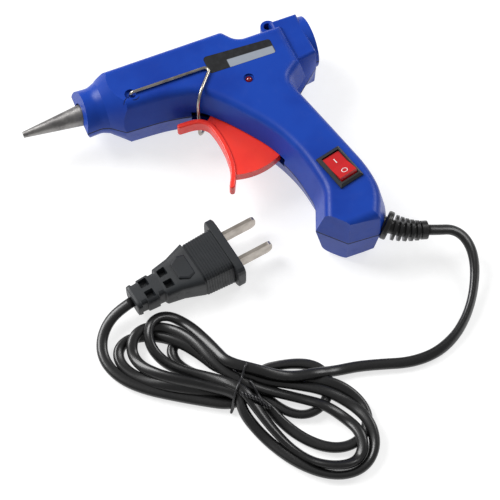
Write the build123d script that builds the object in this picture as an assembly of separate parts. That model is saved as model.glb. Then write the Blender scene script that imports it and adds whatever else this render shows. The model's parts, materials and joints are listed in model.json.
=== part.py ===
import os
from math import pi, radians, tan
from build123d import *

os.makedirs("parts", exist_ok=True)

# Hot-melt glue gun, lying on its right side.  Working frame: X along the barrel towards the rear, origin on
# the barrel axis where the nozzle leaves the collar, Y up the gun, Z out of its left side, parting plane Z 0.

# casing
half_thick = 14.0        # parting plane to the side panel
lean_in = 3.4            # how far the side walls lean in from the parting plane to the panel
butt_lean = 1.0          # the same, on the flat faces of the butt
ridge_r = 3.6            # soft ridge between a side panel and its leaning walls
panel_edge = 0.4         # height left under the lean, so that the ridge has a corner to round
wall = 2.0
collar_r = 9.6           # round collar around the nozzle
collar_end = 6.4
nozzle_mouth_r = 5.0     # hole in the collar's front
rear_panel = 11.0        # the rear block's side panel, a little below the main one
rear_disc_r = 11.0       # round end around the stick inlet
rear_disc_y = -1.9
rear_end = 100.6
stick_bore_r = 3.9       # guides a glue stick of 7 mm
slot_half = 2.6          # half the width of the trigger slot
boss_r = 2.9

# melting unit
nozzle_length = 24.0
nozzle_tip_r = 1.25
nozzle_base_r = 4.4
orifice_r = 0.75
nozzle_shank = 7.0
melt_r = 3.75            # melting bore, and the nozzle's shank in it
chamber_r = 5.6
chamber_start, chamber_end = 2.0, 36.0
pad_start, pad_end = 13.0, 27.0
pad_y = -6.2             # flat under the chamber that the heater lies on
heater_thick = 2.3
clip_thick = 0.6
sleeve_r = 6.6
sleeve_start, sleeve_end = 31.5, 47.0

# feed
pivot_x, pivot_y = 56.5, -19.0
pivot_pin_r = 1.5
running_gap = 0.05
arm_length = 13.5        # pivot to the carriage stud, square to the barrel
pull_angle = 22.0        # full trigger travel, degrees
stud_r = 1.4
web_half = 2.0           # half the trigger web's thickness
band_half = 2.75         # half the finger band's width
band_thick = 2.2
arm_in, arm_out = 5.7, 7.9          # the two trigger arms, to each side of the carriage
carriage_half_y, carriage_half_z = 6.2, 5.4
stud_x = pivot_x + arm_length * tan(radians(pull_angle / 2))
carriage_start, carriage_end = stud_x - 2.1, stud_x + 5.2
spring_y, spring_r, spring_wire_r = -10.6, 1.7, 0.25
spring_post_x = 83.0

# wire stand
wire_r = 0.65
wire_gap = 0.1           # wire to the side panel
stand_x, stand_y = 20.2, -7.5
stand_bend = (54.9, -7.6)
stand_foot = (43.9, -20.5)
wire_bend, foot_bend = 1.6, 6.0

# rocker switch, set along the handle
switch_x, switch_y = 82.6, -71.0
switch_turn = -76.7      # direction of its long side, degrees
bezel_l, bezel_w, bezel_h = 16.0, 10.8, 1.6
well_l, well_w, well_depth = 12.8, 8.0, 7.0
rocker_r = 6.25          # end faces of the rocker, about its axle
rocker_w = 7.7
rocker_tilt = 9.0        # each way from level
axle_z = half_thick - 0.7
axle_r = 1.0

# screws, label and power light
screw_r = 1.2
screw_head_r = 2.4
screw_seat = 5.0         # parting plane to the underside of the heads
label_sink = 0.3
label_gap = 0.06
light_x, light_y, light_r = 66.7, -18.6, 1.5

# lead and plug
lead_r = 2.0
relief_spot = (92.2, -93.6, 0.0)
relief_heading, relief_pitch = -44.0, 8.0          # where the lead leaves the butt, degrees
relief_length, relief_bend = 17.0, 34.0
relief_neck_r, relief_core_r = 3.2, 2.9
relief_wall = 2.0
hank_height = 8.5
tie_thick = 1.0
plug_front = (33.6, -76.8)          # middle of the plug's front face
plug_turn = 8.3
plug_thick = 14.0
blade_pitch = 12.7
blade_reach = 15.6

# where the whole gun is placed
side_z = half_thick + wire_gap + wire_r            # middle of the stand's legs
lift = side_z + wire_r                             # floor to the parting plane
floor_z = -lift
middle_x, middle_y = 38.3, -43.11

smooth = -1.0


def corners(points):
    """A closed face from (x, y, corner radius) points; the radius smooth is as large as its runs allow."""
    spots = [Vector(x, y) for x, y, r in points]
    radii = []
    for i, (x, y, r) in enumerate(points):
        before = spots[i] - spots[i - 1]
        after = spots[(i + 1) % len(spots)] - spots[i]
        most = 0.45 * min(before.length, after.length) / tan(radians(before.get_angle(after)) / 2)
        radii.append(most if r == smooth else min(r, most))
    return make_face(FilletPolyline(spots, radius=radii, close=True).edges())


def route(points):
    """Straight runs joined by tangent arcs, each arc as large as its two runs allow."""
    spots = [Vector(*p) for p in points]
    radii = []
    for a, b, c in zip(spots, spots[1:], spots[2:]):
        radii.append(0.45 * min((b - a).length, (c - b).length) / tan(radians((b - a).get_angle(c - b)) / 2))
    return FilletPolyline(spots, radius=radii), radii


def tube(path, r):
    """A round bar along a path."""
    return sweep(Plane(origin=path @ 0, z_dir=path % 0) * Circle(r), path)


def rod_x(x0, x1, r, y=0.0, z=0.0):
    return Plane(origin=(x0, y, z), z_dir=(1, 0, 0)) * extrude(Circle(r), amount=x1 - x0)


def rod_z(x, y, z0, z1, r):
    return Pos(x, y, z0) * extrude(Circle(r), amount=z1 - z0)


def block(x0, x1, y0, y1, z0, z1):
    return Pos(x0, y0, z0) * Box(x1 - x0, y1 - y0, z1 - z0, align=Align.MIN)


def leaning(face, height, lean, ridge=0.0):
    """A block over a face whose sides lean in towards its top, with a soft ridge around the top."""
    prism = extrude(face, amount=height)
    top = prism.faces().sort_by(Axis.Z)[-1]
    made = prism.chamfer(lean, height - panel_edge, top.edges(), top)
    if ridge:
        made = fillet(made.faces().sort_by(Axis.Z)[-1].edges(), ridge)
    return made


# ---- casing ----

barrel_and_handle = [
    (0, 10.6, 0), (66.8, 11.0, 5), (71.4, 4.6, 4), (92.0, 4.6, 0), (92.0, -20.0, 0), (84.6, -25.4, 3),
    (91.4, -52.6, smooth), (96.3, -73.0, smooth), (96.6, -86.0, smooth), (90.0, -99.0, 0),
    (66.8, -99.0, 0), (65.6, -88.0, 5), (70.8, -76.0, 10), (69.4, -60.0, smooth), (64.4, -45.3, smooth),
    (53.8, -29.4, smooth), (44.4, -18.6, 14), (32.0, -16.0, smooth), (16.2, -15.2, 0), (0, -14.6, 0)]
butt = [
    (-20, 40, 0), (120, 40, 0), (120, -68, 0), (88.6, -97.2, 0), (75.6, -96.2, 0), (66.2, -86.0, 0),
    (45, -68, 0), (-20, -68, 0)]
slot_zone = [
    (41.8, -12, 0), (41.8, -24, 0), (50, -36, 0), (60, -57, 0), (68.8, -52.6, 0), (76, -48, 0), (70, -34, 0),
    (58, -14, 0)]
screw_spots = [(37.4, -10.8), (82.4, -16.4), (76.2, -57.0), (76.6, -89.4)]
label = [(53.2, -10.7, 1.2), (81.8, -11.1, 1.2), (81.8, -3.9, 1.2), (53.2, -2.1, 1.6)]


def flare(skin):
    """The round collar and the cone that opens from it into the barrel, its surface set in by skin."""
    outline = Polyline(
        (skin, 0), (skin, collar_r + 0.2 - skin), (collar_end + skin, collar_r - 0.1 - skin),
        (9.6 + 0.7 * skin, 10.8 - 0.7 * skin), (17.0 + 0.7 * skin, 17.0 - 0.7 * skin), (24, 130), (130, 130),
        (130, 0), close=True)
    made = make_face(outline.edges())
    made = fillet(made.vertices().sort_by_distance(Vector(collar_end + skin, collar_r - 0.1 - skin))[0], 5)
    return revolve(made, Axis.X)


def rear_section(x, low_y, panel_y):
    """Half a cross-section of the rear block: a flat panel between a steep top wall and a long slope."""
    return make_face(Polyline((x, 8.4, 0), (x, 6.0, rear_panel), (x, panel_y, rear_panel), (x, low_y, 0),
                              close=True).edges())


def outer_half():
    """The +Z half of the casing, solid."""
    main = leaning(corners(barrel_and_handle), half_thick, lean_in, ridge_r)
    main = main & flare(0) & leaning(corners(butt), half_thick, butt_lean)
    rear = loft([rear_section(86.0, -25.8, -15.8), rear_section(98.0, -15.6, -14.8)], ruled=True)
    rear = fillet(rear.edges().filter_by(lambda e: e.length > 11.5 and abs((e @ 0).Z - rear_panel) < 0.01), 1.5)
    disc = rod_x(88.0, rear_end, rear_disc_r, rear_disc_y)
    disc = disc & block(80, 110, -30, 30, 0, 30)
    return main + rear + disc


def cavity_half():
    """What the +Z half leaves open inside."""
    face = offset(corners(barrel_and_handle), -wall, kind=Kind.ARC)
    hollow = leaning(face, half_thick - wall, lean_in - 0.5)
    hollow = hollow & flare(wall) & leaning(offset(corners(butt), -wall, kind=Kind.ARC), half_thick - wall, butt_lean)
    return hollow - block(86, 120, -26, 30, -1, half_thick)


def half(posts):
    """Everything that the two halves have alike, on the +Z side, with the posts that one half adds."""
    outer = outer_half()
    made = outer - cavity_half() + (posts & outer)
    ribs = block(8.6, 10.6, -20, 20, 0, 14) + block(28.4, 30.4, -20, 20, 0, 14) + block(44, 46, -20, 20, 0, 14)
    ribs = (ribs & outer) - block(0, 60, -5.5, -2.5, 8.6, 12) - block(28, 31, -9.6, -2.5, 4.5, 12)
    rails = block(50, 68, carriage_half_y + 0.1, carriage_half_y + 1.8, 0, 4)
    rails += block(48.4, 68, -carriage_half_y - 2.6, -carriage_half_y - 0.9, 1.7, 4)
    rails += block(50, 68, 0, 3, carriage_half_z + 0.1, 13)
    rails += block(50, 52, carriage_half_y + 0.1, 10.5, 0, 13) + block(66, 68, carriage_half_y + 0.1, 10.5, 0, 13)
    rails += block(48.4, 50.4, -carriage_half_y - 2.6, -carriage_half_y - 0.9, 1.7, 13)
    made = made + ribs + (rails & outer)
    made += rod_z(pivot_x, pivot_y, arm_out + 0.15, half_thick - 1, 3.6)
    made -= rod_x(-1, wall + 1, nozzle_mouth_r) + rod_x(1.9, chamber_end, chamber_r) + rod_x(40, 52, sleeve_r)
    made -= rod_x(48, 120, stick_bore_r)
    made -= Pos(0, 0, -1) * extrude(corners(slot_zone), amount=slot_half + 1)
    made -= rod_z(stand_x, stand_y, 5, 20, wire_r + running_gap) + rod_z(stand_x, stand_y, 12.8, 20, 2.3)
    made -= rod_z(pivot_x, pivot_y, -1, 11, pivot_pin_r)
    return made & block(-50, 150, -150, 50, 0, 50)


def ring_lug():
    """The hanging ring on top, in front of the rear block, on the +Z side."""
    lug = Pos(85.4, 5.7) * extrude(Circle(3.2), amount=8.5) + block(82.2, 88.5, 2.8, 5.7, 0, 8.5)
    return lug - Pos(85.3, 5.9, -1) * extrude(Circle(1.7), amount=12) - block(83.6, 87.0, 4.9, 5.9, -1, 12)


def bosses(r):
    posts = [rod_z(x, y, 0, half_thick, r) for x, y in screw_spots]
    return posts[0] + posts[1:]


def casing_left():
    """The upper half as it lies: label pocket, power light hole, switch hole, blind screw holes."""
    made = half(bosses(boss_r)) + ring_lug()
    for x, y in screw_spots:
        made -= rod_z(x, y, -1, 9, screw_r)
    made -= Pos(0, 0, half_thick - label_sink) * extrude(offset(corners(label), label_gap), amount=5)
    made -= rod_z(light_x, light_y, 5, 20, light_r + running_gap) + rod_z(light_x, light_y, 13.2, 20, light_r + 0.7)
    made -= on_switch(Pos(0, 0, 5) * Box(well_l + 1.5, well_w + 1.3, 20))
    return made - relief_hole()


def casing_right():
    """The lower half: counterbored screw holes and the post for the return spring."""
    made = half(bosses(boss_r + 0.6)) + ring_lug()
    for x, y in screw_spots:
        made -= rod_z(x, y, -1, 20, screw_r + 0.2) + rod_z(x, y, screw_seat, 20, screw_head_r + 0.2)
    made += rod_z(spring_post_x, spring_y, -1.0, half_thick - 1, 1.2)
    made = mirror(made, Plane.XY)
    return made - relief_hole()


def on_switch(thing):
    """Places a thing from the switch's own frame: x along its long side, z out of the panel."""
    return Location((switch_x, switch_y, 0), (0, 0, switch_turn)) * thing


def on_relief(thing):
    """Places a thing from the strain relief's own frame: x out of the butt along the lead, y up."""
    return Pos(*relief_spot) * Rot(0, 0, relief_heading) * Rot(0, relief_pitch, 0) * thing


def relief_hole():
    hole = rod_x(-7.5, 0.6, relief_neck_r) + rod_x(-7.5, -relief_wall, relief_neck_r + 1.3)
    return on_relief(hole + block(0, 4, -12, 12, -14, 14))


def rating_label():
    return Pos(0, 0, half_thick - label_sink) * extrude(corners(label), amount=label_sink + 0.05)


def screws():
    made = []
    for x, y in screw_spots:
        screw = rod_z(x, y, -screw_seat - 2.4, -screw_seat, screw_head_r) + rod_z(x, y, -screw_seat, 8.5, screw_r)
        screw -= Pos(0, 0, -screw_seat - 3) * (block(x - 1.7, x + 1.7, y - 0.3, y + 0.3, 0, 1.6)
                                               + block(x - 0.3, x + 0.3, y - 1.7, y + 1.7, 0, 1.6))
        made.append(screw)
    return Compound(made)


# ---- melting unit ----

def nozzle():
    shape = make_face(Polyline(
        (-nozzle_length, orifice_r), (-nozzle_length, nozzle_tip_r), (0.6, nozzle_base_r), (chamber_start, nozzle_base_r),
        (chamber_start, melt_r), (nozzle_shank, melt_r), (nozzle_shank, 3.0), (-nozzle_length + 3, orifice_r),
        close=True).edges())
    return revolve(shape, Axis.X)


def heating_chamber():
    made = rod_x(chamber_start, chamber_end, chamber_r)
    made += block(pad_start, pad_end, pad_y, 0, -4.5, 4.5)
    return made - rod_x(0, 60, melt_r)


def ptc_heater():
    return block(pad_start + 0.5, pad_end - 0.5, pad_y - heater_thick, pad_y, -4.2, 4.2)


def heater_clip():
    def band(r, low):
        return make_face((Circle(r) + Pos(0, low / 2) * Rectangle(2 * r, -low)).face().outer_wire().edges())

    low = pad_y - heater_thick
    inner = chamber_r + 0.3
    section = band(inner + clip_thick, low - clip_thick) - band(inner, low)
    return Plane(origin=(16, 0, 0), x_dir=(0, 0, -1), z_dir=(1, 0, 0)) * extrude(section, amount=8)


def stick_sleeve():
    made = rod_x(sleeve_start, sleeve_end, sleeve_r) - rod_x(sleeve_start - 1, chamber_end, chamber_r)
    return made - rod_x(30, 60, melt_r)


def sleeve_clamp():
    ring = rod_x(32.5, 34.0, sleeve_r + 0.7) - rod_x(32, 35, sleeve_r)
    return ring + block(32.5, 34.0, sleeve_r + 0.4, sleeve_r + 1.8, -0.8, 0.8)


# ---- feed ----

def stick_carriage():
    made = block(carriage_start, carriage_end, -carriage_half_y, carriage_half_y, -carriage_half_z, carriage_half_z)
    made += rod_z(stud_x, -5.5, -arm_out, arm_out, stud_r)
    made += block(carriage_end - 3.5, carriage_end, spring_y - 1.6, -carriage_half_y, -1.2, 1.2)
    return made - rod_x(carriage_start - 1, carriage_end + 1, stick_bore_r)


def trigger():
    """Finger band, web, hub and the two arms that carry the carriage forward."""
    spine, _ = route([(35.2, -21.9, 0), (40.4, -22.1, 0), (44.2, -23.1, 0), (46.9, -25.9, 0), (48.2, -32.0, 0),
                      (48.6, -40.0, 0), (47.7, -47.4, 0), (46.0, -52.2, 0), (43.9, -56.0, 0)])
    band = make_face(offset(spine, amount=band_thick / 2, side=Side.BOTH).edges())
    band = extrude(band, amount=band_half, both=True)
    band = fillet(band.edges().filter_by(lambda e: abs(abs((e @ 0.5).Z) - band_half) < 0.01), 0.6)
    web = make_face((Polyline((pivot_x - 3.0, pivot_y + 1), (46.4, -23.6), (48.8, -32.0), (48.9, -41.0),
                              (47.1, -51.6)).edges()
                     + [ThreePointArc((47.1, -51.6), (58.0, -52.6), (67.2, -49.6))]
                     + Polyline((67.2, -49.6), (pivot_x + 3.0, pivot_y), (pivot_x - 3.0, pivot_y + 1)).edges()))
    made = band + extrude(web, amount=web_half, both=True)
    made += rod_z(pivot_x, pivot_y, -arm_out, arm_out, 3.4)
    lean = pull_angle / 2
    arm = block(-2.6, 2.6, 0, arm_length + 3.2, arm_in, arm_out)
    slot = Pos(0, arm_length + 0.1, 0) * Box(2 * (stud_r + 0.1), 2 * stud_r + 0.7, 40)
    for side in (0, 180):
        made += Location((pivot_x, pivot_y, 0), (0, 0, -lean)) * (Rot(0, side, 0) * arm)
    made -= Location((pivot_x, pivot_y, 0), (0, 0, -lean)) * slot
    return made - rod_z(pivot_x, pivot_y, -20, 20, pivot_pin_r + running_gap)


def trigger_pin():
    return rod_z(pivot_x, pivot_y, -10.8, 10.8, pivot_pin_r)


def return_spring():
    start = carriage_end - 1.6
    length = spring_post_x - start
    coil_start, coil_length = start + 2.6, length - 5.2
    coil = Plane(origin=(coil_start, spring_y, 0), z_dir=(1, 0, 0)) * Helix(coil_length / 12, coil_length, spring_r)
    return sweep(Plane(origin=coil @ 0, z_dir=coil % 0) * Circle(spring_wire_r), coil, is_frenet=True)


# ---- stand ----

def wire_stand():
    bend_x, bend_y = stand_bend
    foot_x, foot_y = stand_foot
    points = [(stand_x, stand_y, 9.5), (stand_x, stand_y, side_z), (bend_x, bend_y, side_z), (foot_x, foot_y, side_z)]
    mirrored = [(x, y, -z) for x, y, z in reversed(points)]
    bends = [wire_bend, wire_bend, foot_bend]
    path = FilletPolyline(points + mirrored, radius=bends + bends[::-1])
    return tube(path, wire_r)


# ---- electrics ----

def switch_body():
    outer = Pos(0, 0, half_thick) * extrude(Rectangle(bezel_l, bezel_w), amount=bezel_h)
    outer = chamfer(outer.faces().sort_by(Axis.Z)[-1].edges(), 0.9)
    outer += Pos(0, 0, 2.5) * extrude(Rectangle(well_l + 1.4, well_w + 1.2), amount=half_thick - 2.5)
    outer -= Pos(0, 0, axle_z - well_depth) * extrude(Rectangle(well_l, well_w), amount=20)
    outer -= Plane(origin=(0, -10, axle_z), z_dir=(0, 1, 0)) * extrude(Circle(axle_r + running_gap), amount=20)
    return on_switch(outer)


def switch_rocker():
    """The rocker with its mark I end pressed in."""
    side = Plane(origin=(0, rocker_w / 2, 0), x_dir=(1, 0, 0), z_dir=(0, -1, 0))
    disc = side * extrude(Circle(rocker_r), amount=rocker_w)
    top = side * extrude(make_face(Polyline((-9, -3.4), (9, -3.4), (9, 2.9), (0, 2.0), (-9, 2.9),
                                            close=True).edges()), amount=rocker_w)
    made = (disc & top) + side * Pos(0, 0, -0.5) * extrude(Circle(axle_r), amount=rocker_w + 1.0)
    return on_switch(Pos(0, 0, axle_z) * (Rot(0, -rocker_tilt, 0) * made))


def switch_terminals():
    made = [on_switch(Pos(u, 0, -3.5) * Box(0.8, 4.8, 12.0)) for u in (-4.2, 0.8)]
    return Compound(made)


def power_light():
    return rod_z(light_x, light_y, 8.4, 12.4, light_r) + Pos(light_x, light_y, 12.4) * (
        Sphere(light_r) & Pos(0, 0, 2) * Box(9, 9, 4)) + rod_z(light_x, light_y, 8.4, 9.2, light_r + 0.4)


def light_resistor():
    return rod_x(70.0, 76.0, 1.15, light_y + 1.3, 7.5) + rod_x(light_x, 79.0, 0.3, light_y + 1.3, 7.5)


def internal_wire(points):
    path, _ = route(points)
    return tube(path, 0.65)


def strain_relief():
    """Ribbed and tapering, bent gently towards the rear, its neck held in the casing."""
    bend = JernArc((0, 0), (1, 0), relief_length / radians(relief_bend), relief_bend)
    made = rod_x(-relief_wall - 1.6, -relief_wall, relief_neck_r + 1.2) + rod_x(-relief_wall, 0.2, relief_neck_r)
    made += fillet(rod_x(0, 2.4, 5.8).edges(), 0.7) + tube(bend, relief_core_r)
    for step in range(5):
        along = 0.22 + 0.13 * step
        rib = Plane(origin=bend @ along, z_dir=bend % along) * extrude(Circle(5.1 - 0.28 * step), amount=1.1)
        made += rib
    made += Plane(origin=bend @ 0.86, z_dir=bend % 0.86) * extrude(Circle(3.7), amount=0.14 * relief_length)
    return on_relief(made), on_relief(bend)


# ---- lead, hank and plug ----

def on_plug(thing):
    """Places a thing from the plug's own frame: x towards the blades, from the middle of its front face."""
    return Location((*plug_front, floor_z + plug_thick / 2), (0, 0, plug_turn)) * thing


def plug_body():
    def section(x, w, h, r):
        return Plane(origin=(x, 0, 0), x_dir=(0, 1, 0), z_dir=(1, 0, 0)) * RectangleRounded(w, h, r)

    flange = loft([section(-3.0, 27.6, plug_thick, 3), section(0, 27.2, plug_thick, 3)], ruled=True)
    grip = [section(-43, 10.2, 8.0, 3.5), section(-31, 12.0, 10.0, 4), section(-21.5, 14.6, 11.6, 4),
            section(-16, 20.8, 12.6, 4), section(-3, 23.2, 13.0, 3)]
    made = flange + loft(grip, ruled=True)
    return on_plug(made) - plug_blades()


def plug_blades():
    blade = block(-7.0, blade_reach, -0.75, 0.75, -3.175, 3.175)
    blade = fillet(blade.edges().filter_by(Axis.Y).sort_by(Axis.X)[-2:], 2.2)
    return Compound([on_plug(Pos(0, side * blade_pitch / 2, 0) * blade) for side in (-1, 1)])


hank_outline = [
    (8.5, -131.0), (-5.8, -121.8), (-14.0, -116.1), (-20.3, -109.4), (-23.2, -102.8), (-20.5, -97.2),
    (-14.0, -94.4), (-6.0, -92.4), (0.5, -93.2), (6.2, -96.6), (10.8, -102.6), (14.6, -110.0), (19.5, -117.8),
    (24.4, -123.4), (31.5, -125.4), (40.0, -127.4), (47.0, -131.0), (50.6, -137.2), (53.4, -143.4),
    (57.0, -149.6), (58.4, -156.6), (57.8, -165.0), (55.2, -173.2), (49.2, -179.2), (40.8, -181.2),
    (32.0, -179.6), (24.4, -174.6), (18.6, -166.8), (15.2, -157.0), (13.4, -147.4), (10.6, -138.8)]
hank_eye = [
    (25.2, -146.4), (29.6, -155.8), (36.0, -162.6), (43.6, -164.6), (50.0, -160.6), (50.2, -154.6),
    (43.6, -150.6), (33.8, -148.4)]
tie_spot, tie_turn = (17.4, -131.0), 46.4
lead_route = [
    (111.6, -102.7, -3.0), (116.8, -103.9, -4.0), (120.2, -107.4, -5.4), (121.2, -112.8, -6.9),
    (120.0, -118.8, -8.7), (117.2, -124.8, -10.4), (113.0, -131.2, -11.8), (107.2, -137.4, -12.8),
    (99.6, -142.8, -13.3), (90.0, -146.0, -13.3), (79.6, -145.6, -13.3), (69.0, -141.9, -13.3),
    (60.2, -139.2, -13.3), (52.0, -137.8, -13.3)]
tail_route = [
    (-14.8, -84.0, -9.4), (-20.8, -86.8, -11.2), (-25.2, -91.8, -12.8), (-27.0, -98.4, -13.3),
    (-25.8, -105.2, -13.3), (-22.0, -111.8, -13.3), (-15.6, -118.0, -13.3), (-7.2, -124.0, -13.3),
    (1.2, -129.6, -13.3), (9.2, -134.6, -13.3)]


def on_tie(thing):
    return Location((*tie_spot, floor_z), (0, 0, tie_turn)) * thing


def tie_band():
    outer = block(-10.8, 10.8, -0.8, 0.8, 0, hank_height + tie_thick)
    return outer - block(-10.8 + tie_thick, 10.8 - tie_thick, -2, 2, tie_thick, hank_height)


def cord_hank():
    ring = corners([(x, y, smooth) for x, y in hank_outline]) - corners([(x, y, smooth) for x, y in hank_eye])
    return Pos(0, 0, floor_z) * extrude(ring, amount=hank_height) - on_tie(tie_band())


def cord_tie():
    end = Plane(origin=(-6, 0, hank_height + tie_thick), z_dir=(-0.5, 0.8, 0.05)) * extrude(Circle(0.7), amount=9)
    return on_tie(tie_band() + Pos(4, -3, 0.5) * end)


def lead_tube(name, points):
    path, radii = route(points)
    made = tube(path, lead_r)
    print(name, "length %.1f" % path.length, "radii", " ".join("%.1f" % r for r in radii),
          "volume / (section x length) %.4f" % (made.volume / (pi * lead_r ** 2 * path.length)))
    return made


# ---- the pieces ----

relief, relief_path = strain_relief()
lead_start = tuple(relief_path @ 1)
tail_start = tuple(on_plug(Pos(-43, 0, 0) * Vertex(0, 0, 0)).center())
pieces = {
    "housing_left": casing_left(),
    "housing_right": casing_right(),
    "housing_screws": screws(),
    "rating_label": rating_label(),
    "nozzle": nozzle(),
    "heating_chamber": heating_chamber(),
    "ptc_heater": ptc_heater(),
    "heater_clip": heater_clip(),
    "stick_sleeve": stick_sleeve(),
    "sleeve_clamp": sleeve_clamp(),
    "stick_carriage": stick_carriage(),
    "trigger": trigger(),
    "trigger_pin": trigger_pin(),
    "return_spring": return_spring(),
    "wire_stand": wire_stand(),
    "switch_body": switch_body(),
    "switch_rocker": switch_rocker(),
    "switch_terminals": switch_terminals(),
    "power_light": power_light(),
    "light_resistor": light_resistor(),
    "wire_live_in": internal_wire([
        (87.4, -89.8, -0.9), (85.8, -86.2, -5.4), (83.4, -80.8, -9.2), (82.9, -75.6, -10.2), (82.8, -71.2, -10.2)]),
    "wire_live_switched": internal_wire([
        (81.5, -68.2, -10.3), (82.0, -64.8, -10.2), (83.4, -60.2, -6.4), (84.6, -55.6, -0.4), (84.9, -51.0, 5.0),
        (83.6, -45.0, 8.8), (81.6, -36.0, 9.8), (77.4, -25.0, 9.8), (70.6, -13.0, 9.8), (60.0, -5.4, 9.8),
        (48.0, -4.0, 9.8), (35.5, -4.0, 9.6), (30.0, -5.6, 7.6), (26.0, -7.35, 4.9)]),
    "wire_neutral": internal_wire([
        (89.4, -88.2, -3.0), (88.8, -84.0, -6.4), (88.4, -76.0, -8.0), (88.2, -66.0, -8.6), (85.4, -54.0, -9.0),
        (82.6, -40.0, -9.6), (77.4, -25.0, -9.8), (70.6, -13.0, -9.8), (60.0, -5.4, -9.8), (48.0, -4.0, -9.8),
        (35.5, -4.0, -9.6), (30.0, -5.6, -7.6), (26.0, -7.35, -4.9)]),
    "strain_relief": relief,
    "cord_lead": lead_tube("cord_lead", [lead_start] + lead_route),
    "cord_hank": cord_hank(),
    "cord_tail": lead_tube("cord_tail", [tail_start] + tail_route),
    "cord_tie": cord_tie(),
    "plug_body": plug_body(),
    "plug_blades": plug_blades(),
}
for name, piece in pieces.items():
    export_step(Pos(-middle_x, -middle_y, lift) * piece, "parts/" + name + ".step")
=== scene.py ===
import json
import bpy
import numpy as np
from mathutils import Matrix, Vector


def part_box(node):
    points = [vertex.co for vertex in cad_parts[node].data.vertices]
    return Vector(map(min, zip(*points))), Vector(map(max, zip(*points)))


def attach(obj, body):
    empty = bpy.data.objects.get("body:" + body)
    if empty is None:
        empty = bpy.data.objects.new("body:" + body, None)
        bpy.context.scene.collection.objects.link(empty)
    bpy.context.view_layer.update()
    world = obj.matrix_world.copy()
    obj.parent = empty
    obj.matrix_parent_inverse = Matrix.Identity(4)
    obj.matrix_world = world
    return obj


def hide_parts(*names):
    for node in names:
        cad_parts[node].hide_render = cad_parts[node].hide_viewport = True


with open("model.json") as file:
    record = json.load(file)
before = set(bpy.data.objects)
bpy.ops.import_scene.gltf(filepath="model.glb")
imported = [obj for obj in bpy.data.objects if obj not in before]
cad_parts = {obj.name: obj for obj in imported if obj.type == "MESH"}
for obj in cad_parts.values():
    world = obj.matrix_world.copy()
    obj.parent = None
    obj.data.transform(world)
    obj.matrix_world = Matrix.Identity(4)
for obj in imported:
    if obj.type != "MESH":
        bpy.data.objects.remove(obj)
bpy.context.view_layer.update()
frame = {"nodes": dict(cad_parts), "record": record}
mm = 0.001

# the gun's own axes: x along the barrel from the collar's front, y up the gun, z out of its left side
nozzleLow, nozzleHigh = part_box("nozzle")
noseLength = 24.0   # from the nozzle's tip to the collar's front, mm
origin = np.array([nozzleLow.x + noseLength * mm,
                   (nozzleLow.y + nozzleHigh.y) / 2,
                   (nozzleLow.z + nozzleHigh.z) / 2])
floorZ = -15.4      # what the gun lies on, in its own axes, mm


def place(points):
    # gun millimetres to metres in the frame
    return np.asarray(points, float) * mm + origin


def meshPiece(name, points, faces, smooth=True):
    # a new piece from an array of points and a list of faces
    mesh = bpy.data.meshes.new(name)
    mesh.from_pydata(np.asarray(points).tolist(), [], faces)
    mesh.polygons.foreach_set("use_smooth", [smooth] * len(mesh.polygons))
    mesh.update()
    piece = bpy.data.objects.new(name, mesh)
    bpy.context.scene.collection.objects.link(piece)
    return piece


def gridFaces(rows, cols):
    # quads between rings of points, each ring closed on itself
    i, j = np.meshgrid(np.arange(rows - 1), np.arange(cols), indexing="ij")
    k = (j + 1) % cols
    quads = np.stack([i * cols + j, i * cols + k, (i + 1) * cols + k, (i + 1) * cols + j], -1)
    return quads.reshape(-1, 4)


def closedRings(rings):
    # rings of points (rows, cols, 3) as points and faces, with a fan of triangles over each end
    rows, cols = rings.shape[:2]
    points = np.concatenate([rings.reshape(-1, 3), rings[0].mean(0)[None], rings[-1].mean(0)[None]])
    j = np.arange(cols)
    k = (j + 1) % cols
    start, last = rows * cols, rows * cols + 1
    low = np.stack([np.full(cols, start), k, j], -1)
    high = np.stack([np.full(cols, last), (rows - 1) * cols + j, (rows - 1) * cols + k], -1)
    return points, gridFaces(rows, cols).tolist() + low.tolist() + high.tolist()


def ringsPiece(name, rings, smooth=True):
    # a closed body skinned over rings, which are points on a grid of (along, around)
    points, faces = closedRings(rings)
    return meshPiece(name, points, faces, smooth)


# camera
view = {"target": (39.67, -83.95, 0.0), "azimuth": -22.8, "elevation": 61.3, "distance": 0.56,
        "lens": 104.8, "sensor": 36.0, "clip": 0.01}


def makeCamera():
    # the camera stands at target + distance (sin a cos e, -cos a cos e, sin e) and looks back at the target
    a, e = np.radians(view["azimuth"]), np.radians(view["elevation"])
    back = Vector((np.sin(a) * np.cos(e), -np.cos(a) * np.cos(e), np.sin(e)))
    data = bpy.data.cameras.new("camera")
    data.lens, data.sensor_width, data.clip_start = view["lens"], view["sensor"], view["clip"]
    camera = bpy.data.objects.new("camera", data)
    bpy.context.scene.collection.objects.link(camera)
    target = Vector(place(view["target"]))
    turn = back.to_track_quat("Z", "Y").to_matrix().to_4x4()
    camera.matrix_world = Matrix.Translation(target + back * view["distance"]) @ turn
    bpy.context.scene.camera = camera


makeCamera()
print("camera ready")


# the cord's line
cordPlan = {
    "width": 4.3, "thick": 3.0,
    "exit": (107.1, -101.2, -2.3),
    "tie": (17.4, -131.0), "across": (0.69, 0.724),
    "loopStart": 0.15, "loopPoints": 13,
    "layer": 2.6, "reach": 2.9, "touch": 4.4, "slope": 0.26, "low": 2.05,
    "apart": 9.0, "ahead": 60, "fine": 5,
    # the roll: where along the cord it starts and stops, then size, rate in radians a metre and shift
    "rollFrom": 0.1, "rollTo": 0.93, "rollEase": 0.04,
    "rollWaves": ((0.7, 52.0, 0.0), (0.35, 23.0, 1.0)),
    "exitTurn": 1.15, "exitAt": 0.045, "exitWide": 0.026,
}

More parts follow.
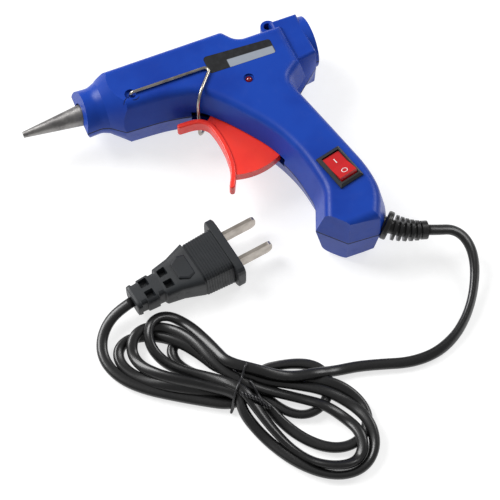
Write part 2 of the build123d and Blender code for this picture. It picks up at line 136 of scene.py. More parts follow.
# from the strain relief down to the table and on to the hank
leadRoute = [
    (111.6, -102.7, -3.0), (116.8, -103.9, -4.0), (120.2, -107.4, -5.4), (121.2, -112.8, -6.9),
    (120.0, -118.8, -8.7), (117.2, -124.8, -10.4), (113.0, -131.2, -11.8), (107.2, -137.4, -12.8),
    (99.6, -142.8, -13.3), (90.0, -146.0, -13.3), (79.6, -145.6, -13.3), (69.0, -141.9, -13.3),
    (60.2, -139.2, -13.3), (52.0, -137.8, -13.3)]
# over the hank's front loops to the tie
leadInto = [(44.0, -137.2), (36.4, -135.6), (29.6, -132.8), (24.0, -128.8)]
# from the plug's tail round to the hank
tailRoute = [
    (-8.95, -83.0, -8.4), (-14.8, -84.0, -9.4), (-20.8, -86.8, -11.2), (-25.2, -91.8, -12.8),
    (-27.0, -98.4, -13.3), (-25.8, -105.2, -13.3), (-22.0, -111.8, -13.3), (-15.6, -118.0, -13.3),
    (-7.2, -124.0, -13.3), (1.2, -129.6, -13.3), (9.2, -134.6, -13.3)]

# each loop: length, half width, heading, bow, lean, and the mouth it leaves the tie from; then how far
# across the tie the strand that follows it passes
loops = [
    ((39.3, 11.7, 97.0, -17.0, 30.8, 16.75, -129.5), -2.2),
    ((50.5, 14.0, -63.0, -3.1, 10.2, 16.2, -131.6), 0.0),
    ((40.9, 13.1, 146.4, 11.4, -24.0, 12.1, -130.9), -4.4),
    ((62.5, 19.7, -53.5, -6.0, 9.5, 9.6, -127.0), 4.4),
    ((50.1, 12.4, 145.9, 7.2, -15.8, 15.85, -133.3), -2.2),
    ((48.2, 16.2, -40.0, 4.7, -9.5, 19.6, -128.7), 6.6),
    ((26.9, 6.2, 106.0, -11.2, 21.6, 17.65, -126.9), 2.2),
    ((31.9, 13.7, -26.2, 11.2, -15.4, 20.35, -125.4), -5.4)]


def loopPoints(shape, turn):
    # along the heading L sin2(pi t), across it W sin(2 pi t) sin(pi t) + bow sin4(pi t) + lean sin2(pi t)
    length, width, heading, bow, lean, x, y = shape
    t = np.linspace(cordPlan["loopStart"], 1 - cordPlan["loopStart"], cordPlan["loopPoints"])
    a = np.radians(heading)
    u, v = np.array([np.cos(a), np.sin(a)]), np.array([-np.sin(a), np.cos(a)])
    s = np.sin(np.pi * t)
    side = turn * width * np.sin(2 * np.pi * t) * s + bow * s ** 4 + lean * s ** 2
    return np.array([x, y]) + np.outer(length * s ** 2, u) + np.outer(side, v)


def hankPlan():
    # the hank's turns in plan, loop by loop, with one point after each where the strand passes the tie
    runs = [np.array(leadInto)]
    for i, (shape, across) in enumerate(loops):
        runs.append(loopPoints(shape, 1 if i == len(loops) - 1 else -1))
        runs.append(np.array(cordPlan["tie"])[None] + across * np.array(cordPlan["across"])[None])
    return np.concatenate(runs)


def splineLine(points, per=6):
    # the smooth line of a NURBS spline with these control points, read back as a mesh of edges
    data = bpy.data.curves.new("line", "CURVE")
    data.dimensions = "3D"
    data.resolution_u = per
    spline = data.splines.new("NURBS")
    spline.points.add(len(points) - 1)
    spline.points.foreach_set("co", np.c_[points, np.ones(len(points))].ravel())
    spline.order_u = 3
    spline.use_endpoint_u = True
    holder = bpy.data.objects.new("line", data)
    bpy.context.scene.collection.objects.link(holder)
    mesh = bpy.data.meshes.new_from_object(holder)
    line = np.zeros(len(mesh.vertices) * 3)
    mesh.vertices.foreach_get("co", line)
    bpy.data.objects.remove(holder)
    line = line.reshape(-1, 3)
    steps = np.linalg.norm(np.diff(line, axis=0), axis=1)
    return line[np.r_[True, steps > 0.01 * mm]]


def stackHeights(plan):
    # a strand rests on those that it crosses and that lie nearer the tail: its height is the most of the
    # floor's, height + layer sqrt(1 - (gap / touch)^2) of each strand within reach and apart along the cord,
    # and the height further on less slope times the run to it, which gives long low humps
    n = len(plan)
    gap = np.linalg.norm(plan[:, None] - plan[None], axis=2)
    run = np.r_[0, np.cumsum(np.linalg.norm(np.diff(plan, axis=0), axis=1))]
    height = np.full(n, floorZ + cordPlan["low"])
    for i in range(n - 1, -1, -1):
        under = (gap[i] < cordPlan["reach"]) & (run - run[i] > cordPlan["apart"])
        if under.any():
            lift = cordPlan["layer"] * np.sqrt(np.clip(1 - (gap[i][under] / cordPlan["touch"]) ** 2, 0, 1))
            height[i] = max(height[i], (height[under] + lift).max())
        later = slice(i + 1, min(n, i + cordPlan["ahead"]))
        if i + 1 < n:
            height[i] = max(height[i], (height[later] - cordPlan["slope"] * (run[later] - run[i])).max())
    return height, run


def cordLine():
    # control points of the whole cord: the lead, the hank's turns and the tail, in gun millimetres
    hank = hankPlan()
    tail = np.array(tailRoute)[::-1]
    lead = np.array([cordPlan["exit"]] + leadRoute)
    plan = np.concatenate([lead[:, :2], hank, tail[:, :2]])
    # heights are found on a fine line and then given to the control points
    steps = np.linspace(0, len(plan) - 1, (len(plan) - 1) * cordPlan["fine"] + 1)
    fine = np.stack([np.interp(steps, np.arange(len(plan)), plan[:, k]) for k in (0, 1)], 1)
    height, run = stackHeights(fine)
    # the same slope limit on the way down as on the way up
    for i in range(1, len(height)):
        height[i] = max(height[i], height[i - 1] - cordPlan["slope"] * (run[i] - run[i - 1]))
    z = height[::cordPlan["fine"]].copy()
    z[:len(lead)] = lead[:, 2]
    z[-len(tail):] = tail[:, 2]
    return np.c_[plan, z]


controlPoints = place(cordLine())
cordPath = splineLine(controlPoints)


def flatTube(name, path, width, thick, twist, ringPoints=14, power=0.8):
    # an oval carried along the path: path + wide (width / 2) cos a + high (thick / 2) sin a, where wide
    # starts level and both turn about the path by the twist angle
    step = np.gradient(path, axis=0)
    along = step / np.linalg.norm(step, axis=1)[:, None]
    side = np.cross(along, [0, 0, 1.0])
    side /= np.linalg.norm(side, axis=1)[:, None]
    up = np.cross(side, along)
    c, s = np.cos(twist)[:, None], np.sin(twist)[:, None]
    wide, high = c * side + s * up, c * up - s * side
    a = np.linspace(0, 2 * np.pi, ringPoints, endpoint=False)
    # cosine and sine raised to a power below 1 fill out the oval's corners a little
    ca = np.sign(np.cos(a)) * np.abs(np.cos(a)) ** power * width / 2
    sa = np.sign(np.sin(a)) * np.abs(np.sin(a)) ** power * thick / 2
    rings = path[:, None] + wide[:, None] * ca[None, :, None] + high[:, None] * sa[None, :, None]
    return ringsPiece(name, rings)


def makeCord():
    run = np.r_[0, np.cumsum(np.linalg.norm(np.diff(cordPath, axis=0), axis=1))]
    t = run / run[-1]
    # the twist is a sum of slow sine waves in the hank, and a bell-shaped turn near the exit
    start, stop, ease = cordPlan["rollFrom"], cordPlan["rollTo"], cordPlan["rollEase"]
    inHank = np.clip((t - start) / ease, 0, 1) * np.clip((stop - t) / ease, 0, 1)
    twist = inHank * sum(size * np.sin(run * rate + shift) for size, rate, shift in cordPlan["rollWaves"])
    exitTurn = cordPlan["exitTurn"] * np.exp(-((t - cordPlan["exitAt"]) / cordPlan["exitWide"]) ** 2)
    twist = np.where(t < start, exitTurn, twist)
    return flatTube("powerCord", cordPath, cordPlan["width"] * mm, cordPlan["thick"] * mm, twist)


cord = makeCord()
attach(cord, "casing")
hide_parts("cord_lead", "cord_hank", "cord_tail")
print("cord made")


# the tie
tiePlan = {
    "radius": 0.5,
    "wires": (("tieA", (22.6, -123.6), (9.2, -138.0)), ("tieB", (19.6, -129.4), (21.6, -143.2))),
    "points": 40, "reach": 2.4, "over": 2.0, "ramp": 5, "foot": 1.4, "under": 0.55, "every": 3,
    # its two twisted ends
    "endFrom": (14.4, -135.6), "endTo": (23.2, -143.4), "endRadius": 0.42, "endSwing": 0.5, "endTurns": 4.5,
    "endPoints": 60, "endReach": 2.6, "endOver": 2.1, "endLow": 1.2, "endSmooth": 13,
}


def roundTube(name, path, radius, ringPoints=10):
    # a circle carried along the path: path + radius (side cos a + up sin a), where side is square to the
    # path and to one fixed slanting direction
    step = np.gradient(path, axis=0)
    along = step / np.linalg.norm(step, axis=1)[:, None]
    side = np.cross(along, [0.13, 0.21, 0.97])
    side /= np.linalg.norm(side, axis=1)[:, None]
    up = np.cross(side, along)
    a = np.linspace(0, 2 * np.pi, ringPoints, endpoint=False)
    circle = side[:, None] * np.cos(a)[None, :, None] + up[:, None] * np.sin(a)[None, :, None]
    rings = path[:, None] + radius * circle
    return ringsPiece(name, rings)


def coverHeight(xy, reach):
    # the highest of the cord's line within reach of each spot, in gun millimetres
    line = (cordPath - origin) / mm
    near = np.linalg.norm(line[None, :, :2] - np.asarray(xy)[:, None], axis=2) < reach
    return np.where(near, line[None, :, 2], floorZ - 1).max(1)


def smoothed(values, count):
    # the running mean of an odd count of values, with the ends held
    return np.convolve(np.pad(values, count // 2, "edge"), np.ones(count) / count, "valid")


def wireRound(name, start, end):
    # a thin wire over the strands: start + t (end - start), as high as the cord there and a little more,
    # ramped down at both ends, and straight back beneath them
    start, end = np.array(start), np.array(end)
    count, ramp, foot = tiePlan["points"], tiePlan["ramp"], floorZ + tiePlan["foot"]
    xy = start + np.outer(np.linspace(0, 1, count), end - start)
    over = coverHeight(xy, tiePlan["reach"]) + tiePlan["over"]
    over[:ramp] = np.minimum(over[:ramp], np.linspace(foot, over[ramp], ramp))
    over[-ramp:] = np.minimum(over[-ramp:], np.linspace(over[-ramp - 1], foot, ramp))
    top = np.c_[xy, smoothed(over, ramp)]
    back = np.c_[xy[::-1], np.full(count, floorZ + tiePlan["under"])]
    loop = np.concatenate([top, back[1:-1]])
    control = place(loop[::tiePlan["every"]])
    path = splineLine(np.concatenate([control, control[:2]]), 4)
    return roundTube(name, path, tiePlan["radius"] * mm)


def twistedEnds(name):
    # the tie's two ends, a double helix on the hank: swing cos a across the line and swing sin a up
    start, end = np.array(tiePlan["endFrom"]), np.array(tiePlan["endTo"])
    t = np.linspace(0, 1, tiePlan["endPoints"])
    xy = start + np.outer(t, end - start)
    top = smoothed(coverHeight(xy, tiePlan["endReach"]), tiePlan["endSmooth"])
    z = np.maximum(top + tiePlan["endOver"], floorZ + tiePlan["endLow"])
    across = np.array([-(end - start)[1], (end - start)[0]]) / np.linalg.norm(end - start)
    strands = []
    for phase in (0, np.pi):
        a = 2 * np.pi * tiePlan["endTurns"] * t + phase
        side = np.outer(tiePlan["endSwing"] * np.cos(a), across)
        strands.append(place(np.c_[xy + side, z + tiePlan["endSwing"] * np.sin(a)]))
    return [roundTube(name + str(i), s, tiePlan["endRadius"] * mm) for i, s in enumerate(strands)]


def joined(name, parts):
    # several meshes as one piece
    bpy.ops.object.select_all(action="DESELECT")
    for part in parts:
        part.select_set(True)
    bpy.context.view_layer.objects.active = parts[0]
    bpy.ops.object.join()
    parts[0].name = name
    return parts[0]


tie = joined("hankTie", [wireRound(*wire) for wire in tiePlan["wires"]] + twistedEnds("tieEnd"))
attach(tie, "casing")
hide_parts("cord_tie")
print("tie made")


# the plug
plugPlan = {
    "front": (33.6, -76.8), "turn": 8.3, "middle": 7.0,
    # each section: x, width, height, roundness, top squeeze
    "flange": ((-3.3, 26.8, 13.2, 0.35, 0.0), (-2.9, 27.6, 13.9, 0.35, 0.0),
               (-0.5, 27.6, 13.9, 0.35, 0.0), (0.0, 26.8, 13.2, 0.35, 0.0)),
    "ribs": 11, "ribPitch": 1.1, "ribsFrom": -3.4, "ribShrink": 0.006,
    "groove": (22.9, 12.7), "rib": (23.2, 13.0), "ribSteps": (0.0, 0.1, 0.75, 0.85),
    "gripShape": (0.2, 0.16),
    "gripEnd": ((-15.6, 21.2, 12.0), (-16.4, 21.0, 12.0)),
    "padSide": ((-17.4, 4.6), (-20.6, 5.4), (-24.0, 3.4)), "padSteps": ((0.0, 5.4), (0.0, 6.15), (0.5, 6.5)),
    "padReach": 4.0,
    # the tail's width and height at each x
    "tailWidth": ((-43.0, 9.4), (-42.8, 10.6), (-42.0, 11.0), (-31.0, 12.0), (-30.6, 13.2),
                  (-24.0, 15.4), (-16.1, 20.8)),
    "tailHeight": ((-43.0, 7.2), (-42.8, 8.2), (-42.0, 8.6), (-31.0, 9.8), (-24.0, 11.0), (-16.1, 12.6)),
    "tailRound": 0.35, "tailPoints": 120,
    # half length and soft edge along x, then how far out, half width and soft edge across
    "windows": (-28.2, -36.4), "windowDepth": 0.5,
    "windowAlong": (1.75, 0.35), "windowAcross": (2.7, 1.6, 0.35),
    "notches": (-32.4, -39.8), "notchDepth": 0.14, "notchAlong": (1.4, 0.3),
}


def onPlug(points):
    # the plug's own frame: x from its front face towards the blades, z up
    points = np.asarray(points, float)
    a = np.radians(plugPlan["turn"])
    x = plugPlan["front"][0] + points[..., 0] * np.cos(a) - points[..., 1] * np.sin(a)
    y = plugPlan["front"][1] + points[..., 0] * np.sin(a) + points[..., 1] * np.cos(a)
    return place(np.stack([x, y, floorZ + plugPlan["middle"] + points[..., 2]], -1))


def roundedSection(width, height, corner, count=48, squeeze=0.0):
    # a superellipse, |y| and |z| raised to a power that falls from 8 to 2 as the corner goes from square to
    # round, with its points spaced evenly along it; squeeze narrows its top
    a = np.linspace(0, 2 * np.pi, 1441)
    power = 2 / (2 + 6 * (1 - corner))
    y = np.sign(np.cos(a)) * np.abs(np.cos(a)) ** power * width / 2
    z = np.sign(np.sin(a)) * np.abs(np.sin(a)) ** power * height / 2
    run = np.r_[0, np.cumsum(np.hypot(np.diff(y), np.diff(z)))]
    even = (np.arange(count) + 0.5) * run[-1] / count
    y, z = np.interp(even, run, y), np.interp(even, run, z)
    return y * (1 - squeeze * (z / height + 0.5)), z


def sections(name, rows, count=48):
    # rows of (x, width, height, roundness, top squeeze): a rounded section at each x, skinned into one body
    rings = []
    for x, width, height, corner, squeeze in rows:
        y, z = roundedSection(width, height, corner, count, squeeze)
        rings.append(onPlug(np.stack([np.full(count, float(x)), y, z], -1)))
    return ringsPiece(name, np.array(rings), smooth=False)


def plugTail():
    # a rounded section that narrows from the step to the cord; z is pressed in by 1 - depth at each window,
    # and y by 1 - depth at each side notch, where x and y are both near the window's middle
    x = np.r_[np.linspace(-16.1, -23.0, 8), np.linspace(-23.4, -42.8, 110), -43.0]
    width = np.interp(x, *zip(*plugPlan["tailWidth"]))
    height = np.interp(x, *zip(*plugPlan["tailHeight"]))
    y, z = roundedSection(1.0, 1.0, plugPlan["tailRound"], plugPlan["tailPoints"])
    across, up = np.outer(width, y), np.outer(height, z)
    broad = np.abs(up) > 0.3 * height[:, None]
    edge = np.abs(across) > 0.34 * width[:, None]
    half, edgeX = plugPlan["windowAlong"]
    out, wide, edgeY = plugPlan["windowAcross"]
    for middle in plugPlan["windows"]:
        near = np.clip((half - np.abs(x - middle)) / edgeX, 0, 1)[:, None]
        window = near * np.clip((wide - np.abs(np.abs(across) - out)) / edgeY, 0, 1) * broad
        up = up * (1 - plugPlan["windowDepth"] * window)
    half, edgeX = plugPlan["notchAlong"]
    for middle in plugPlan["notches"]:
        near = np.clip((half - np.abs(x - middle)) / edgeX, 0, 1)[:, None]
        across = across * (1 - plugPlan["notchDepth"] * near * edge)
    rings = onPlug(np.stack([np.broadcast_to(x[:, None], across.shape), across, up], -1))
    return ringsPiece("tail", rings[::-1], smooth=False)


def plugGrip():
    # a row of fine ribs across the body with narrower grooves between, each a little smaller than the last
    groove, rib = plugPlan["groove"], plugPlan["rib"]
    rows = []
    for k in range(plugPlan["ribs"]):
        x = plugPlan["ribsFrom"] - k * plugPlan["ribPitch"]
        shrink = 1 - plugPlan["ribShrink"] * k
        for step, (width, height) in zip(plugPlan["ribSteps"], (groove, rib, rib, groove)):
            rows.append((x - step, width * shrink, height, *plugPlan["gripShape"]))
    rows += [(*row, *plugPlan["gripShape"]) for row in plugPlan["gripEnd"]]
    return sections("grip", rows[::-1])


def plugPad(face):
    # a raised six-sided pad behind the step: one outline at three heights, drawn in towards its middle
    side = np.array(plugPlan["padSide"])
    whole = np.concatenate([side, side[::-1] * (1, -1)])
    middle = whole.mean(0)
    rings = []
    for inset, z in plugPlan["padSteps"]:
        outline = middle + (whole - middle) * (1 - inset / plugPlan["padReach"])
        rings.append(onPlug(np.c_[outline[:, 0], face * outline[:, 1], np.full(len(whole), face * z)]))
    return ringsPiece("pad", np.array(rings), smooth=False)


def plugParts():
    # the flange behind the blades, the grip, a pad on each broad face and the tail
    return [sections("flange", plugPlan["flange"]), plugGrip(), plugPad(-1), plugPad(1), plugTail()]


plug = joined("plugBody", plugParts())
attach(plug, "casing")
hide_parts("plug_body")
print("plug made")


# rocker marks
switchPlan = {
    "x": 82.6, "y": -71.0, "turn": -76.7, "tilt": 9.0, "axle": 13.3, "rise": 2.0, "slope": 0.1,
    "ringAt": 3.3, "ringWide": 1.0, "ringLong": 1.15, "ringLine": 0.14, "lineRise": 0.1,
    "ringPoints": 40, "linePoints": 8,
    "barHalf": 0.16, "barRows": ((-3.6, 0.06), (-3.5, 0.0), (-1.5, 0.0), (-1.4, 0.06)),
}


def onRocker(points):
    # the rocker's own frame: x along it towards the butt, z out of the handle, tilted about its axle
    points = np.asarray(points, float)
    t, a = np.radians(switchPlan["tilt"]), np.radians(switchPlan["turn"])
    x = points[..., 0] * np.cos(t) - points[..., 2] * np.sin(t)
    z = points[..., 0] * np.sin(t) + points[..., 2] * np.cos(t)
    y = points[..., 1]
    return place(np.stack([switchPlan["x"] + x * np.cos(a) - y * np.sin(a),
                           switchPlan["y"] + x * np.sin(a) + y * np.cos(a), switchPlan["axle"] + z], -1))


def rockerTop(x):
    # the height of the rocker's face: rise + slope |x|, two slopes that meet in the middle
    return switchPlan["rise"] + switchPlan["slope"] * np.abs(x)


def markRing():
    # an oval torus: x = at + cos a (wide + line cos b), y = sin a (long + line cos b), z = face + rise sin b
    m, n, line = switchPlan["ringPoints"], switchPlan["linePoints"], switchPlan["ringLine"]
    a = np.linspace(0, 2 * np.pi, m, endpoint=False)
    b = np.linspace(0, 2 * np.pi, n, endpoint=False)
    x = switchPlan["ringAt"] + np.outer(np.cos(a), switchPlan["ringWide"] + line * np.cos(b))
    y = np.outer(np.sin(a), switchPlan["ringLong"] + line * np.cos(b))
    z = rockerTop(x) + switchPlan["lineRise"] * np.sin(b)[None]
    points = onRocker(np.stack([x, y, z], -1)).reshape(-1, 3)
    i, j = np.meshgrid(np.arange(m), np.arange(n), indexing="ij")
    over, around = (i + 1) % m, (j + 1) % n
    faces = np.stack([i * n + j, over * n + j, over * n + around, i * n + around], -1)
    return meshPiece("markOff", points, faces.reshape(-1, 4).tolist())


def markBar():
    # a thin bar along the rocker, its ends drawn in by an inset
    rise = switchPlan["lineRise"]
    rings = []
    for x, inset in switchPlan["barRows"]:
        half, low, high = switchPlan["barHalf"] - inset, rockerTop(x) - rise, rockerTop(x) + (rise - inset)
        rings.append(onRocker([(x, -half, low), (x, half, low), (x, half, high), (x, -half, high)]))
    return ringsPiece("markOn", np.array(rings), smooth=False)


def rockerMarks():
    return joined("rockerMarks", [markRing(), markBar()])


marks = rockerMarks()
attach(marks, "rocker_body")
print("rocker marks made")


# materials
class Value:
    # a socket that takes part in Python arithmetic by adding Math nodes

    def __init__(self, sheet, socket):
        self.sheet, self.socket = sheet, socket

    def math(self, operation, a, b):
        return self.sheet.add("ShaderNodeMath", {"operation": operation}, [a, b])

    def __add__(self, other):
        return self.math("ADD", self, other)

    def __radd__(self, other):
        return self.math("ADD", other, self)

    def __sub__(self, other):
        return self.math("SUBTRACT", self, other)

    def __rsub__(self, other):
        return self.math("SUBTRACT", other, self)

    def __mul__(self, other):
        return self.math("MULTIPLY", self, other)

    def __rmul__(self, other):
        return self.math("MULTIPLY", other, self)


class Sheet:
    # one material's node tree

    def __init__(self, name):
        self.material = bpy.data.materials.new(name)
        self.material.use_nodes = True
        self.tree = self.material.node_tree
        self.tree.nodes.clear()

    def plug(self, socket, value):
        if isinstance(value, Value):
            self.tree.links.new(value.socket, socket)
        elif isinstance(value, tuple) and len(value) == 3 and len(socket.default_value) == 4:
            socket.default_value = (*value, 1.0)
        else:
            socket.default_value = value

    def add(self, kind, settings=None, inputs=None, output=0):
        node = self.tree.nodes.new(kind)
        for key, value in (settings or {}).items():
            if key == "ramp":
                ramp = node.color_ramp
                while len(ramp.elements) < len(value):
                    ramp.elements.new(0.5)
                for element, (at, colour) in zip(ramp.elements, value):
                    element.position, element.color = at, (*colour, 1.0)
            else:
                setattr(node, key, value)
        pairs = inputs.items() if isinstance(inputs, dict) else enumerate(inputs or [])
        for key, value in pairs:
            self.plug(node.inputs[key], value)
        return Value(self, node.outputs[output])

    def objectPoint(self):
        return self.add("ShaderNodeTexCoord", output="Object")

    def noise(self, scale, detail=2.0, roughness=0.5, point=None):
        return self.add("ShaderNodeTexNoise", None, {
            "Vector": point or self.objectPoint(),
            "Scale": scale, "Detail": detail, "Roughness": roughness}, "Fac")

    def step(self, value, low, high, toLow=0.0, toHigh=1.0):
        return self.add("ShaderNodeMapRange", {"interpolation_type": "SMOOTHSTEP"},
                        {"Value": value, "From Min": low, "From Max": high,
                         "To Min": toLow, "To Max": toHigh})

    def within(self, value, half):
        # one inside plus or minus half, falling to nothing just outside
        size = self.add("ShaderNodeMath", {"operation": "ABSOLUTE"}, [value])
        return self.step(size, half * 0.8, half * 1.2 + 0.02, 1.0, 0.0)

    def mix(self, mask, a, b):
        return self.add("ShaderNodeMix", {"data_type": "RGBA"}, {0: mask, 6: a, 7: b}, 2)

    def separate(self, point):
        node = self.tree.nodes.new("ShaderNodeSeparateXYZ")
        self.tree.links.new(point.socket, node.inputs[0])
        return [Value(self, s) for s in node.outputs]

    def bump(self, height, distance, strength=1.0):
        inputs = {"Strength": strength, "Distance": distance, "Height": height}
        return self.add("ShaderNodeBump", None, inputs)

    def surface(self, **inputs):
        names = {"colour": "Base Color", "roughness": "Roughness", "metallic": "Metallic",
                 "normal": "Normal", "coat": "Coat Weight", "coatRoughness": "Coat Roughness",
                 "specular": "Specular IOR Level",
                 "glow": "Emission Color", "glowStrength": "Emission Strength"}
        shader = self.add("ShaderNodeBsdfPrincipled", None, {names[k]: v for k, v in inputs.items()})
        out = self.tree.nodes.new("ShaderNodeOutputMaterial")
        self.tree.links.new(shader.socket, out.inputs["Surface"])
        return self.material


def srgb(r, g, b):
    # eight-bit display colour to linear light
    c = np.array([r, g, b]) / 255.0
    c = np.where(c <= 0.04045, c / 12.92, ((c + 0.055) / 1.055) ** 2.4)
    return tuple(float(v) for v in c)


def mouldedPlastic(name, colour, shade, roughness=0.36, grain=0.00004, coat=0.25, fine=2600):
    # moulded plastic: faint clouding of its colour, a fine spark texture, a few handling marks in the gloss
    s = Sheet(name)
    cloud, spark, marks = s.noise(60, 4), s.noise(fine, 2), s.noise(240, 5, 0.7)
    tone = s.mix(s.step(cloud, 0.35, 0.7), colour, shade)
    rough = roughness + 0.14 * s.step(marks, 0.5, 0.75) + 0.08 * cloud
    return s.surface(colour=tone, roughness=rough, coat=coat, coatRoughness=0.2,
                     normal=s.bump(spark, grain, 0.5))


def casingPlastic():
    # the moulded shell: the parting line is a thin dark groove where z is near the seam
    s = Sheet("casingPlastic")
    cloud, spark, marks = s.noise(45, 4), s.noise(2400, 2), s.noise(260, 5, 0.7)
    z = s.separate(s.objectPoint())[2]
    offset = s.add("ShaderNodeMath", {"operation": "ABSOLUTE"}, [z - float(origin[2])])
    seam = s.step(offset, 0.00018, 0.0005, 1.0, 0.0)
    tone = s.mix(s.step(cloud, 0.35, 0.7), srgb(20, 64, 164), srgb(15, 54, 150))
    tone = s.mix(seam, tone, srgb(8, 16, 40))
    # a scratch-thin line and a small arc cut beside the stand's hole, bumped in as a groove and darkened
    # with painted shade: distance along and across each
    x, y = s.separate(s.objectPoint())[:2]
    u, v = (x - float(place((18.0, 0, 0))[0])) * 1000.0, (y - float(place((0, -8.9, 0))[1])) * 1000.0
    along, across = u * 0.76 + v * 0.65, v * 0.76 - u * 0.65
    line = s.within(along, 2.5) * s.within(across, 0.16)
    radius = s.add("ShaderNodeMath", {"operation": "SQRT"}, [(u - 3.4) * (u - 3.4) + (v - 0.5) * (v - 0.5)])
    arc = s.within(radius - 2.3, 0.16) * s.step(v, -1.2, -0.8, 1.0, 0.0) * s.step(u, 2.0, 2.4)
    cutWithShade = (line + arc) * s.step(z, float(place((0, 0, 12))[2]), float(place((0, 0, 13))[2]))
    # painted shade: the cut line and arc take a darker blue of the same plastic, standing in for the shade
    # inside the groove
    tone = s.mix(cutWithShade, tone, srgb(10, 22, 60))
    rough = 0.36 + 0.14 * s.step(marks, 0.5, 0.75) + 0.25 * seam
    height = 0.3 * spark - seam - cutWithShade
    return s.surface(colour=tone, roughness=rough, coat=0.05, coatRoughness=0.25, specular=0.2,
                     normal=s.bump(height, 0.00012, 0.5))


def brushedMetal(name, colour, shade, roughness, along, stretch=40.0, grain=0.00003):
    # turned or drawn metal: noise stretched along the tool's path, with soft darker patches
    s = Sheet(name)
    scale = [1200.0, 1200.0, 1200.0]
    scale[along] /= stretch
    point = s.add("ShaderNodeMapping", None, {"Vector": s.objectPoint(), "Scale": tuple(scale)})
    lines = s.noise(1.0, 3, 0.6, point)
    patches = s.noise(180, 4, 0.6)
    tone = s.mix(s.step(patches, 0.35, 0.7), colour, shade)
    return s.surface(colour=tone, metallic=1.0, roughness=roughness + 0.18 * lines + 0.1 * patches,
                     normal=s.bump(lines, grain, 0.5))


def labelFilm():
    # a black film with one silver strip, its corners given along and across the label
    s = Sheet("labelFilm")
    x, y = s.separate(s.objectPoint())[:2]
    u, v = x - float(origin[0]), y - float(origin[1])
    slant = v + 0.035 * (u - 0.0617)
    inside = s.step(u, 0.0617, 0.0621) * s.step(u, 0.0812, 0.0818, 1.0, 0.0)
    inside = inside * s.step(slant, -0.0117, -0.0113) * s.step(slant, -0.0071, -0.0067, 1.0, 0.0)
    scuffs = s.noise(500, 4, 0.6)
    film = s.mix(s.step(scuffs, 0.4, 0.7), srgb(14, 15, 18), srgb(24, 26, 30))
    tone = s.mix(inside, film, srgb(168, 176, 188))
    return s.surface(colour=tone, roughness=0.3 + 0.12 * scuffs, coat=0.3, coatRoughness=0.15,
                     metallic=0.5 * inside, normal=s.bump(scuffs, 0.00002, 0.3))


def cordJacket():
    # glossy black jacket: soft waviness in its gloss and a dusting of fine scratches
    s = Sheet("cordJacket")
    wave, fine = s.noise(90, 3), s.noise(1500, 3, 0.65)
    tone = s.mix(s.step(fine, 0.4, 0.75), srgb(14, 14, 15), srgb(24, 24, 25))
    return s.surface(colour=tone, roughness=0.27 + 0.1 * wave + 0.05 * fine, coat=0.2, coatRoughness=0.15,
                     normal=s.bump(0.7 * wave + 0.3 * fine, 0.00008, 0.35))


def lampLens():
    # clear red plastic with a faint swirl
    s = Sheet("lampLens")
    swirl = s.noise(600, 2)
    tone = s.mix(swirl, srgb(150, 12, 18), srgb(96, 8, 14))
    return s.surface(colour=tone, roughness=0.12 + 0.08 * swirl, coat=0.6, coatRoughness=0.08,
                     normal=s.bump(swirl, 0.00003, 0.3))


def markInk():
    # white ink, worn a little towards the red below it
    s = Sheet("markInk")
    wear = s.noise(2200, 3, 0.6)
    return s.surface(colour=s.mix(s.step(wear, 0.5, 0.8), srgb(236, 236, 234), srgb(206, 180, 180)),
                     roughness=0.45 + 0.1 * wear)


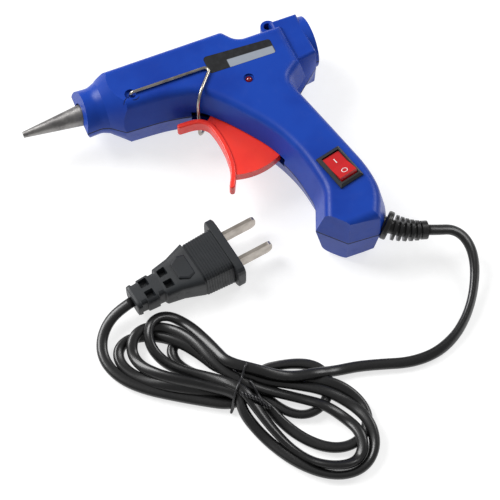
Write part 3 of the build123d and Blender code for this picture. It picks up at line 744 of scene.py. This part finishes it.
finishes = {
    "casing_plastic": casingPlastic(),
    "zinc_steel": brushedMetal("zincSteel", srgb(176, 178, 180), srgb(140, 142, 146), 0.28, 2),
    "label_film": labelFilm(),
    "nozzle_steel": brushedMetal("nozzleSteel", srgb(150, 148, 146), srgb(112, 110, 110), 0.3, 0, 0.25),
    "cast_aluminium": brushedMetal("castAluminium", srgb(170, 172, 174),
                                   srgb(132, 134, 138), 0.45, 0, 1.0, 0.00008),
    "heater_film": mouldedPlastic("heaterFilm", srgb(176, 112, 40), srgb(150, 92, 30), 0.4),
    "silicone": mouldedPlastic("silicone", srgb(206, 204, 198), srgb(186, 184, 176), 0.55, coat=0.0),
    "carriage_plastic": mouldedPlastic("carriagePlastic", srgb(46, 48, 52), srgb(34, 36, 40), 0.45),
    "trigger_plastic": mouldedPlastic("triggerPlastic", srgb(246, 54, 38), srgb(232, 42, 30), 0.32, 0.00005),
    "spring_wire": brushedMetal("springWire", srgb(190, 184, 172),
                                srgb(150, 144, 134), 0.16, 0, 20.0, 0.00001),
    "switch_plastic": mouldedPlastic("switchPlastic", srgb(34, 36, 38), srgb(26, 28, 30), 0.42, coat=0.1),
    "rocker_plastic": mouldedPlastic("rockerPlastic", srgb(196, 22, 28),
                                     srgb(176, 15, 20), 0.25, 0.00002, 0.3),
    "terminal_brass": brushedMetal("terminalBrass", srgb(196, 162, 96), srgb(164, 130, 70), 0.3, 2),
    "lamp_lens": lampLens(),
    "lead_jacket": cordJacket(),
    "tie_plastic": mouldedPlastic("tiePlastic", srgb(22, 22, 24), srgb(34, 34, 38), 0.35),
    "plug_rubber": mouldedPlastic("plugRubber", srgb(26, 30, 34),
                                  srgb(19, 22, 26), 0.45, 0.00006, 0.05, 1800),
    "nickel_plate": brushedMetal("nickelPlate", srgb(196, 188, 178),
                                 srgb(166, 158, 148), 0.2, 0, 12.0, 0.00001),
}


def dress(piece, material):
    piece.data.materials.clear()
    piece.data.materials.append(material)


for part in frame["record"]["subparts"]:
    dress(frame["nodes"][part["node"]], finishes[part["material_slot"]])
dress(cord, finishes["lead_jacket"])
dress(tie, finishes["tie_plastic"])
dress(plug, finishes["plug_rubber"])
dress(marks, markInk())
print("materials made")


# floor and light
studio = {
    "floor": 3.0, "world": 0.3, "paper": 0.72,
    "lights": {"keyLight": ((-0.75, 0.85, 1.0), 0.8, 24.0), "sideLight": ((1.0, 0.2, 0.9), 0.6, 7.0)},
}


def makeStudio():
    half = studio["floor"]
    z = float(origin[2]) + floorZ * mm
    corners = [(-half, -half, z), (half, -half, z), (half, half, z), (-half, half, z)]
    floor = meshPiece("floor", corners, [(0, 1, 2, 3)], smooth=False)
    s = Sheet("floorPaper")
    fibre = s.noise(300, 4)
    paper = s.mix(fibre, (0.97, 0.97, 0.97), (1.0, 1.0, 1.0))
    base = s.mix(fibre, (0.38, 0.38, 0.38), (0.42, 0.42, 0.42))
    dress(floor, s.surface(colour=base, roughness=0.9, specular=0.1,
                           glow=paper, glowStrength=studio["paper"]))
    world = bpy.data.worlds.new("studio")
    world.use_nodes = True
    background = world.node_tree.nodes["Background"]
    background.inputs[0].default_value = (1.0, 1.0, 1.0, 1.0)
    background.inputs[1].default_value = studio["world"]
    bpy.context.scene.world = world
    for name, (spot, size, power) in studio["lights"].items():
        data = bpy.data.lights.new(name, "AREA")
        data.size, data.energy = size, power
        light = bpy.data.objects.new(name, data)
        light.location = spot
        light.rotation_euler = (-Vector(spot)).to_track_quat("-Z", "Y").to_euler()
        bpy.context.scene.collection.objects.link(light)
    bpy.context.scene.view_settings.view_transform = "Standard"


makeStudio()
print("studio ready")
